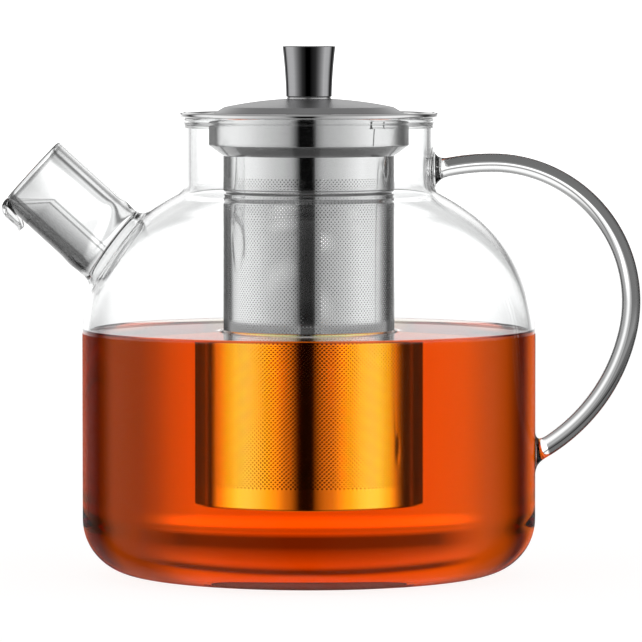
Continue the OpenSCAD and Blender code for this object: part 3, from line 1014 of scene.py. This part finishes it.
high_loop, low_loop = loop_of(out_grid, high_hole), loop_of(out_grid, low_hole)
high_angles, low_angles = rod_angles(high_loop, 0.0), rod_angles(low_loop, ROD_LENGTH)
high_foot = patch(wall_points[high_loop], lambda length: on_rod(length, high_angles), outer,
                  rod_field(top_arc_mid, TOP_ARC_R), blend=5.2,
                  start=-4.0, end=FOOT_LENGTH, flare_rows=10, tube_rows=9)
low_foot = patch(wall_points[low_loop],
                 lambda length: on_rod(ROD_LENGTH - length, low_angles), outer,
                 rod_field(low_arc_mid, LOW_ARC_R), blend=3.6,
                 start=-5.0, end=FOOT_LENGTH, flare_rows=9, tube_rows=9)

# the two loops run opposite ways round the rod: reverse the lower one and find its best match
reverse = -np.arange(len(low_loop)) % len(low_loop)


def twist(shift):
    return wrap(low_angles[np.roll(reverse, shift)] - high_angles)


shift = min(range(len(low_loop)), key=lambda k: np.abs(twist(k)).max())
low_columns = np.roll(reverse, shift)
rod_rows = []
for length in np.linspace(FOOT_LENGTH, ROD_LENGTH - FOOT_LENGTH, ROD_STEPS + 1)[1:-1]:
    part = smooth_step((length - FOOT_LENGTH) / (ROD_LENGTH - 2 * FOOT_LENGTH))
    rod_rows.append(on_rod(length, high_angles + twist(shift) * part))
rod_ids = store.push(np.concatenate([high_foot, rod_rows, low_foot[::-1][:, low_columns]]))
quads.append(strips(np.concatenate([high_loop[None], rod_ids, low_loop[low_columns][None]])))

used, glass_faces = drop_unused(store.count, np.concatenate(quads), tris)
glass = build("glass_pot", store.points()[used], glass_faces, "pot",
              MATERIALS["clear_glass"], ("pot_body", "spout", "handle"))
face_outwards(glass)


def mark_rod_side(mesh):
    """Stores where a point lies across the rod: 0.5 on its centre line, 1 outside, 0 off it; the
    glass material paints shade on the rod's outer half from it.
    """
    points = np.empty(len(mesh.vertices) * 3, np.float32)
    mesh.vertices.foreach_get("co", points)
    points = points.reshape(-1, 3) * 1000.0
    values = np.zeros(len(points), np.float32)
    stations = np.linspace(3.0, ROD_LENGTH - 3.0, 500)
    centres, normals = rod_line(stations)
    near = np.where(points[:, 0] > 40.0)[0]
    offsets = points[near][:, None, [0, 2]] - centres[None]
    best = np.argmin((offsets ** 2).sum(2), 1)
    offset = offsets[np.arange(len(near)), best]
    across = (offset * normals[best]).sum(1) / ROD_R
    from_centre = np.hypot(np.hypot(offset[:, 0], offset[:, 1]), points[near][:, 1]) / ROD_R
    to_end = np.minimum(stations[best], ROD_LENGTH - stations[best])
    fade = np.clip((to_end - 3.2) / 1.2, 0, 1)
    side = (0.5 + 0.5 * np.clip(across, -1, 1)) * fade
    values[near] = np.where(from_centre < 1.25, side, 0.0)
    mesh.attributes.new("rod_side", "FLOAT", "POINT").data.foreach_set("value", values)


mark_rod_side(glass.data)

# ---- tea ---------------------------------------------------------------------

OVERLAP = 0.18              # the tea reaches into the glass, so that no film of air is left
INNER_R = BODY_R - WALL


def tea_surface(radius):
    """Level of the tea, raised where it wets the glass and the basket."""
    radius = min(radius, INNER_R)
    at_glass = 1.0 * math.exp(-(INNER_R - radius) / 1.3)
    at_basket = 0.8 * math.exp(-abs(radius - 28.8) / 1.1)
    return TEA_Z + at_glass + at_basket


def tea_outline():
    points = []
    for point, normal in zip(inner_wall, wall_normals):
        wet = point + normal * OVERLAP
        if wet[1] > TEA_Z - 1.0:
            break
        points.append(wet)
    points[0] = np.array([0.0, points[0][1]])
    points.append(np.array([INNER_R + OVERLAP, tea_surface(INNER_R) - 0.25]))
    for radius in np.concatenate([
        [INNER_R + OVERLAP, INNER_R], np.linspace(INNER_R - 0.15, 70, 20),
        np.linspace(69, 33, 19), np.linspace(32, 25, 45), np.linspace(24, 0, 13),
    ]):
        points.append(np.array([radius, tea_surface(radius)]))
    return np.array(points)


tea_verts, tea_faces, _ = lathe(tea_outline(), 240)
face_outwards(build("tea_liquid", tea_verts, tea_faces, "pot", MATERIALS["tea"]))

# ---- infuser: flange and collar ----------------------------------------------

FLANGE_Z, FLANGE_T, FLANGE_R, FLANGE_IN_R = 155.3, 0.6, 44.0, 33.4
FLANGE_BEAD = 0.85
COLLAR_R = 34.0
CONE_TOP = 145.8            # the collar narrows to the basket below this

flat_r = FLANGE_R - 1.6
turned("infuser_flange_rolled",
       [(FLANGE_IN_R, FLANGE_Z), (flat_r, FLANGE_Z),
        (flat_r, FLANGE_Z + FLANGE_T), (FLANGE_IN_R, FLANGE_Z + FLANGE_T)],
       [0.28, 0.05, 0.05, 0.28], "infuser", "satin_steel", "infuser_flange", 256, 2.0)
# rolled edge, a full ring beside the flat flange
bead_spokes = spokes(np.radians(np.arange(0, 360, 15)))
flange_bead = np.array([FLANGE_R - FLANGE_BEAD, FLANGE_Z + 0.75]) + FLANGE_BEAD * bead_spokes
bead_verts, bead_faces, bead_normals = lathe(flange_bead, 256, bead_spokes)
build("infuser_flange_bead", bead_verts, bead_faces, "infuser",
      MATERIALS["satin_steel"], normals=bead_normals)
turned("infuser_collar_drawn",
       [(COLLAR_R, FLANGE_Z + 0.1), (COLLAR_R - SHEET, FLANGE_Z + 0.1),
        (COLLAR_R - SHEET, CONE_TOP + 0.25), (BASKET_R - SHEET, BASKET_TOP + 0.2),
        (BASKET_R - SHEET, BASKET_TOP - 0.1), (BASKET_R, BASKET_TOP - 0.1),
        (COLLAR_R, CONE_TOP)],
       [0.1, 0.1, 1.2, 0.6, 0.05, 0.5, 0.9], "infuser", "satin_steel", "infuser_collar",
       256, 2.5)

# ---- infuser: perforated basket ----------------------------------------------

GROOVE_Z, GROOVE_WIDTH, GROOVE_DEPTH = 127.5, 1.05, 0.9
CELL_REACH = 0.5 * ROW_H + 0.27   # from a hole's centre to the top and bottom of its cell
# rings of the plain margins, from the holes outwards
LOW_MARGIN = (HOLES_LOW - 0.9, HOLES_LOW - 3.4, BASKET_Z + 0.75, BASKET_Z + 0.55)
HIGH_MARGIN = (HOLES_HIGH + 0.9, HOLES_HIGH + 3.2, BASKET_TOP - 0.2, BASKET_TOP)


def groove_shift(z):
    """How far the rolled groove sets the sheet in at a height."""
    return GROOVE_DEPTH * np.exp(-(((z - GROOVE_Z) / GROOVE_WIDTH) ** 2))


def on_basket(angles, z, radius):
    return np.c_[(radius - groove_shift(z))[:, None] * spokes(angles), z]


def basket_normals(angles, z):
    slope = 2 * groove_shift(z) * (z - GROOVE_Z) / GROOVE_WIDTH ** 2
    normals = np.c_[spokes(angles), -slope]
    return normals / np.linalg.norm(normals, axis=-1, keepdims=True)


def perforated_band(name, row0, row1, replaced):
    """A closed ring of sheet with rows row0 to row1 - 1 of staggered holes.

    The lowest and the highest band also carry the basket's plain margins.
    """
    i = np.arange(HOLES_ROUND)
    half = HOLE_STEP / 2
    angle_blocks, z_blocks = [], []
    count = 0
    tops, bottoms, holes = {}, {}, {}

    def add_ring(angles, z):
        nonlocal count
        angle_blocks.append(angles)
        z_blocks.append(np.full(len(angles), z))
        count += len(angles)
        return np.arange(count - len(angles), count)

    def row_z(j):
        return HOLES_LOW + (j + 0.5) * ROW_H

    def row_angles(j):
        return i * HOLE_STEP + (j % 2) * half

    for j in range(row0 - 1, row1 + 1):
        if j < row1:
            tops[j] = add_ring(row_angles(j), row_z(j) + CELL_REACH)
        if j >= row0:
            bottoms[j] = add_ring(row_angles(j), row_z(j) - CELL_REACH)
    for j in range(row0, row1):
        holes[j] = [add_ring(row_angles(j) + HOLE_R * math.cos(turn) / BASKET_R,
                             row_z(j) + HOLE_R * math.sin(turn))
                    for turn in (rad(90 - 60 * k) for k in range(6))]

    skin, rims = [], []
    for j in range(row0, row1):
        # six corners of a cell, in turn from the top; odd rows are shifted by half a step
        right = (i + 1) % HOLES_ROUND if j % 2 else i
        left = i if j % 2 else (i - 1) % HOLES_ROUND
        cell = [tops[j], bottoms[j + 1][right], tops[j - 1][right],
                bottoms[j], tops[j - 1][left], bottoms[j + 1][left]]
        hole = holes[j]
        is_open = np.abs(np.degrees(row_angles(j)) - SEAM_ANGLE) > SEAM_HALF
        for k in range(6):
            following = (k + 1) % 6
            skin.append(np.stack([cell[k], hole[k], hole[following], cell[following]], 1))
            rims.append(np.stack([hole[k], hole[following]], 1)[is_open])
        # cells on the seam are filled in
        skin.append(np.stack([hole[3], hole[2], hole[1], hole[0]], 1)[~is_open])
        skin.append(np.stack([hole[5], hole[4], hole[3], hole[0]], 1)[~is_open])
    rims = np.concatenate(rims)

    def zigzag(lower):
        """Edge between two rows: tops of the lower and bottoms of the upper in turn."""
        pair = [tops[lower], bottoms[lower + 1]]
        return np.stack(pair[::-1] if lower % 2 else pair, 1).ravel()

    def margin(edge, levels, flip):
        """Adds plain rings beyond an edge and returns the last one."""
        for z in levels:
            ids = add_ring(np.arange(2 * HOLES_ROUND) * half, z)
            faces = np.stack([edge, np.roll(edge, -1), np.roll(ids, -1), ids], 1)
            skin.append(faces[:, ::-1] if flip else faces)
            edge = ids
        return edge

    low_edge, high_edge = zigzag(row0 - 1), zigzag(row1 - 1)
    if row0 == 0:
        low_edge = margin(low_edge, LOW_MARGIN, flip=False)
    if row1 == ROWS:
        high_edge = margin(high_edge, HIGH_MARGIN, flip=True)
    skin = np.concatenate(skin)
    angles, z = np.concatenate(angle_blocks), np.concatenate(z_blocks)
    verts = np.concatenate([on_basket(angles, z, BASKET_R), on_basket(angles, z, BASKET_R - SHEET)])
    normals = basket_normals(angles, z)
    normals = np.concatenate([normals, -normals])

    def across(start, end):
        """Quads through the sheet's thickness."""
        return np.stack([start, end, end + count, start + count], 1)

    faces = np.concatenate([skin, (skin + count)[:, ::-1], across(rims[:, 0], rims[:, 1])]
                           + [across(edge, np.roll(edge, -1)) for edge in (low_edge, high_edge)])
    used, faces = drop_unused(len(verts), faces)
    band = build(name, verts[used], faces, "infuser",
                 MATERIALS["perforated_steel"], replaced)
    face_outwards(band, normals[used])


band_rows = [0, 37, 73, 110, ROWS]
for k in range(4):
    perforated_band(f"basket_sheet_{k + 1}", band_rows[k], band_rows[k + 1],
                    () if k else ("basket_wall",))

turned("basket_base_ring_rolled",
       [(BASKET_R - 2.6, BASKET_Z), (BASKET_R, BASKET_Z),
        (BASKET_R, BASKET_Z + 0.6), (BASKET_R - 2.6, BASKET_Z + 0.6)],
       [0.15, 0.28, 0.2, 0.15], "infuser", "satin_steel", "basket_base_ring", 256, 2.0)


def basket_screen():
    """Flat round screen with staggered holes across the basket's bottom."""
    radius, edge_segments = 27.9, 160
    low_z, thick = BASKET_Z + 0.6, 0.45
    hole_r, step_x, step_y = 0.25, 1.25, 1.08
    margin = 3.2            # no hole centre lies nearer to the edge
    points, edges, centres = [], [], []

    def add_polygon(x, y, polygon_r, angles):
        start = len(points)
        for k, angle in enumerate(angles):
            points.append(Vector((x + polygon_r * math.cos(angle),
                                  y + polygon_r * math.sin(angle))))
            edges.append((start + k, start + (k + 1) % len(angles)))

    add_polygon(0, 0, radius, [2 * math.pi * k / edge_segments for k in range(edge_segments)])
    for j in range(-40, 41):
        y = j * step_y
        for k in range(-40, 41):
            x = k * step_x + (0.5 * step_x if j % 2 else 0.0)
            if math.hypot(x, y) < radius - margin:
                centres.append((x, y))
                add_polygon(x, y, hole_r, [rad(60 * n + 30) for n in range(6)])
    flat, _, triangles, *_ = delaunay_2d_cdt(points, edges, [], 1, 1e-6)
    flat = np.array([[point.x, point.y] for point in flat])
    triangles = np.array([face for face in triangles if len(face) == 3])
    # leave out the triangles inside the holes, worked through in chunks to save memory
    middles, centres = flat[triangles].mean(1), np.array(centres)
    chunk = 2000
    keep = np.concatenate([
        np.linalg.norm(middles[s:s + chunk, None] - centres[None], axis=2).min(1) > 0.2
        for s in range(0, len(middles), chunk)])
    triangles = triangles[keep]
    first = flat[triangles[:, 1]] - flat[triangles[:, 0]]
    second = flat[triangles[:, 2]] - flat[triangles[:, 0]]
    clockwise = (first[:, 0] * second[:, 1] - first[:, 1] * second[:, 0]) < 0
    triangles[clockwise] = triangles[clockwise][:, ::-1]
    count = len(flat)
    verts = np.concatenate([np.c_[flat, np.full(count, z)] for z in (low_z, low_z + thick)])
    # walls stand on the edges that only one triangle uses
    sides_of = np.concatenate([triangles[:, [0, 1]], triangles[:, [1, 2]], triangles[:, [2, 0]]])
    _, inverse, uses = np.unique(np.sort(sides_of, 1), axis=0,
                                 return_inverse=True, return_counts=True)
    rim = sides_of[uses[inverse] == 1]
    walls = np.stack([rim[:, 0], rim[:, 1], rim[:, 1] + count, rim[:, 0] + count], 1)
    screen = build("basket_bottom_screen", verts,
                   [walls, triangles[:, ::-1], triangles + count], "infuser",
                   MATERIALS["perforated_base_steel"],
                   ("basket_base_screen",))
    normals = np.zeros((len(verts), 3))
    normals[:count, 2], normals[count:, 2] = -1, 1
    face_outwards(screen, normals)


basket_screen()

# ---- lid ---------------------------------------------------------------------

LID_Z = 155.95
LID_SHEET = 0.6
LID_BORE = 2.1              # hole on the axis through the dome, ring and washer
BEVEL_Z, BEVEL_R = 156.45, 32.6
DOME_Z, DOME_R, DOME_RISE = 158.75, 28.7, 3.0
DOME_SPHERE_R = (DOME_R ** 2 + DOME_RISE ** 2) / (2 * DOME_RISE)
SEAT_R, SEAT_Z = 7.0, 161.4
SKIRT_IN_R, SKIRT_OUT_R, SKIRT_DEPTH = 32.65, 33.15, 8
KNOB_Z, KNOB_TOP = SEAT_Z + 0.8, 179.4
KNOB_LOW_R, KNOB_TOP_R = 7.82, 9.08
KNOB_HOLLOW = 0.22          # how far the knob's side is hollowed at half height


def dome_z(radius):
    return DOME_Z + DOME_RISE - DOME_SPHERE_R + math.sqrt(DOME_SPHERE_R ** 2 - radius * radius)


def lid_dome():
    top = [(r, dome_z(r)) for r in np.linspace(DOME_R, SEAT_R, 14)[1:]]
    under = [(r, dome_z(r) - LID_SHEET) for r in np.linspace(SEAT_R, DOME_R - 0.5, 12)]
    brim_r = BEVEL_R + 1.6
    edge = [(BEVEL_R - 0.9, BEVEL_Z - 0.1), (BEVEL_R - 0.9, LID_Z), (brim_r, LID_Z),
            (brim_r, BEVEL_Z), (BEVEL_R, BEVEL_Z), (DOME_R, DOME_Z)]
    outline = [(LID_BORE, SEAT_Z - LID_SHEET)] + under + edge + top + [(LID_BORE, SEAT_Z)]
    radii = [0.05] + [0.0] * len(under) + [0.3, 0.1, 0.22, 0.22, 0.45, 0.5]
    radii += [0.0] * len(top) + [0.05]
    turned("lid_dome_pressed", outline, radii, "lid", "brushed_lid_steel", "lid_dome", 256, 1.5)


def lid_knob():
    side = []
    for part in np.linspace(0, 1, 13)[1:-1]:
        straight = KNOB_LOW_R + (KNOB_TOP_R - KNOB_LOW_R) * part
        side.append((straight - KNOB_HOLLOW * 4 * part * (1 - part),
                     KNOB_Z + part * (KNOB_TOP - KNOB_Z)))
    outline = [(0, KNOB_Z), (KNOB_LOW_R, KNOB_Z)] + side + [(KNOB_TOP_R, KNOB_TOP), (0, KNOB_TOP)]
    radii = [0, 0.3] + [0] * len(side) + [0.45, 0]
    turned("knob_turned", outline, radii, "lid", "dark_polished_steel", "knob", 192, 1.2)


lid_dome()
turned("lid_skirt_ring",
       [(SKIRT_IN_R, LID_Z - SKIRT_DEPTH), (SKIRT_OUT_R, LID_Z - SKIRT_DEPTH),
        (SKIRT_OUT_R, LID_Z + 0.2), (SKIRT_IN_R, LID_Z + 0.2)],
       [0.2, 0.2, 0.05, 0.05], "lid", "satin_steel", "lid_skirt", 256, 2.0)
turned("knob_ring_polished",
       [(LID_BORE, SEAT_Z - 0.05), (7.3, SEAT_Z - 0.05), (7.62, SEAT_Z + 0.35),
        (7.3, KNOB_Z), (LID_BORE, KNOB_Z)],
       [0.05, 0.2, 0.35, 0.2, 0.05], "lid", "polished_steel", "knob_spacer", 192, 1.0)
lid_knob()
turned("knob_washer_flat",
       [(LID_BORE, SEAT_Z - 1.4), (4.6, SEAT_Z - 1.4),
        (4.6, SEAT_Z - LID_SHEET), (LID_BORE, SEAT_Z - LID_SHEET)],
       0.12, "lid", "satin_steel", "knob_washer", 96, 1.0)

# pieces kept from the CAD model
for name in ("knob_screw", "collar_clip"):
    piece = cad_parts[name]
    piece.data.materials.clear()
    piece.data.materials.append(MATERIALS["satin_steel"])

# ---- floor -------------------------------------------------------------------


def floor_material():
    """Pale floor that glows, a little more where the camera sees it directly."""
    graph = material_graph("pale_floor")
    place = graph.node("TexCoord").output("Object")
    tone = graph.ramp(graph.noise(place, scale=3.0), [(0.3, 0.24), (0.7, 0.26)])
    seen = graph.node("LightPath").output("Is Camera Ray")
    shader = graph.node("AddShader", {
        0: graph.node("BsdfDiffuse", {"Color": tone}),
        1: graph.node("Emission", {"Strength": seen * 0.2 + 0.7}),
    })
    return graph.finish(Surface=shader)


def make_floor():
    material = floor_material()
    mesh = bpy.data.meshes.new("floor")
    corners = [(-0.6, -0.26), (0.6, -0.26), (0.6, 0.9), (-0.6, 0.9)]
    mesh.from_pydata([(x, y, -0.0004) for x, y in corners], [], [(0, 1, 2, 3)])
    floor = bpy.data.objects.new("floor", mesh)
    mesh.materials.append(material)
    scene.collection.objects.link(floor)
    floor.visible_glossy = False
    floor.visible_transmission = False


make_floor()

# ---- studio light ------------------------------------------------------------

# brightness round the studio by degrees, from the camera's side (0) to behind the pot (180)
STUDIO_LEFT = [
    (0, 0.006), (11, 0.006), (14, 0.12), (18, 0.3), (22, 0.45), (34, 0.6), (46, 0.68), (58, 0.8),
    (72, 0.97), (90, 1.1), (110, 1.1), (119, 0.92), (124, 0.55), (128, 0.2), (131, 0.05),
    (134, 0.05), (138, 0.2), (143, 0.45), (151, 0.66), (157, 0.95), (162, 1.02),
]
STUDIO_RIGHT = [
    (0, 0.006), (4.5, 0.006), (7, 0.17), (12, 0.36), (18, 0.5), (24, 0.56), (36, 0.63),
    (48, 0.75), (61, 0.93), (74, 1.08), (101, 1.05), (108, 0.8), (113, 0.5), (119, 0.2),
    (124, 0.06), (134, 0.04), (139, 0.16), (144, 0.33), (154, 0.34), (158, 0.5), (161, 0.75),
    (166, 1.02),
]
# gain behind the pot by degrees of elevation: a soft dark strip with a brighter one under it
BACK_STRIP = [
    (-30, 1.0), (-2.9, 1.0), (-1.6, 1.35), (-0.4, 1.7), (1.6, 1.7), (2.4, 1.0), (2.9, 0.78),
    (3.9, 0.75), (4.6, 0.9), (5.2, 0.7), (6.8, 0.16), (8.5, 0.14), (10.4, 0.8), (12.0, 1.0),
    (30, 1.0),
]


def make_studio():
    """A surround that turns with the camera."""
    scene.world = bpy.data.worlds.new("studio")
    graph = Graph(scene.world)
    x, y, z = graph.split(graph.node("TexCoord").output("Generated"))
    view = graph.node("VectorTransform", {0: (0.0, 0.0, 1.0)},
                      vector_type="VECTOR", convert_from="CAMERA", convert_to="WORLD")
    view_x, view_y, _ = graph.split(view)
    cross = x * view_y - y * view_x
    dot = x * view_x + y * view_y
    azimuth = graph.math("ARCTAN2", cross, dot * -1.0)
    turn = graph.math("ABSOLUTE", azimuth) / math.pi
    around = graph.mix_colours(azimuth > 0.0, graph.ramp(turn, STUDIO_LEFT, span=180),
                               graph.ramp(turn, STUDIO_RIGHT, span=180))
    elevation = graph.math("ARCTAN2", z, distance(x, y))
    overhead = graph.ramp((elevation + math.pi / 2) / math.pi,
                          [(0.0, 0.0), (0.62, 0.0), (0.70, 1.0), (1.0, 1.0)])
    ceiling = graph.ramp(turn, [(0.0, 0.34), (0.5, 0.4), (1.0, 0.34)])
    strip = graph.ramp(elevation / rad(60.0) + 0.5,
                       [(30 + degrees, gain) for degrees, gain in BACK_STRIP], span=60)
    behind = graph.ramp(turn, [(0.0, 0.0), (0.84, 0.0), (0.9, 1.0), (1.0, 1.0)])
    background = graph.node("Background", {
        "Color": graph.mix_colours(overhead, around, ceiling),
        "Strength": behind * (strip - 1.0) + 1.05,
    })
    graph.node("OutputWorld", {0: background})


make_studio()

# ---- camera and render settings ----------------------------------------------

EYE = Vector((4.1, -1790.0, 186.5)) * MM
AIM = Vector((4.1, 0.0, 86.0)) * MM
VIEW_WIDTH = 218.28         # width of the picture at the aim point, in millimetres
SENSOR_WIDTH = 36.0

lens = bpy.data.cameras.new("camera")
camera = bpy.data.objects.new("camera", lens)
scene.collection.objects.link(camera)
scene.camera = camera
camera.location = EYE
camera.rotation_mode = "QUATERNION"
camera.rotation_quaternion = (AIM - EYE).to_track_quat("-Z", "Y")
lens.sensor_width = SENSOR_WIDTH
lens.lens = SENSOR_WIDTH * (AIM - EYE).length / (VIEW_WIDTH * MM)
lens.clip_start, lens.clip_end = 0.05, 60.0

scene.view_settings.view_transform = "Standard"
scene.view_settings.look = "None"
scene.view_settings.exposure = 0.0
cycles = scene.cycles
cycles.max_bounces = 24
cycles.transmission_bounces = 20
cycles.glossy_bounces = 10
cycles.diffuse_bounces = 3
cycles.transparent_max_bounces = 16
cycles.caustics_reflective = True
cycles.caustics_refractive = True
cycles.blur_glossy = 0.1
cycles.sample_clamp_indirect = 6.0
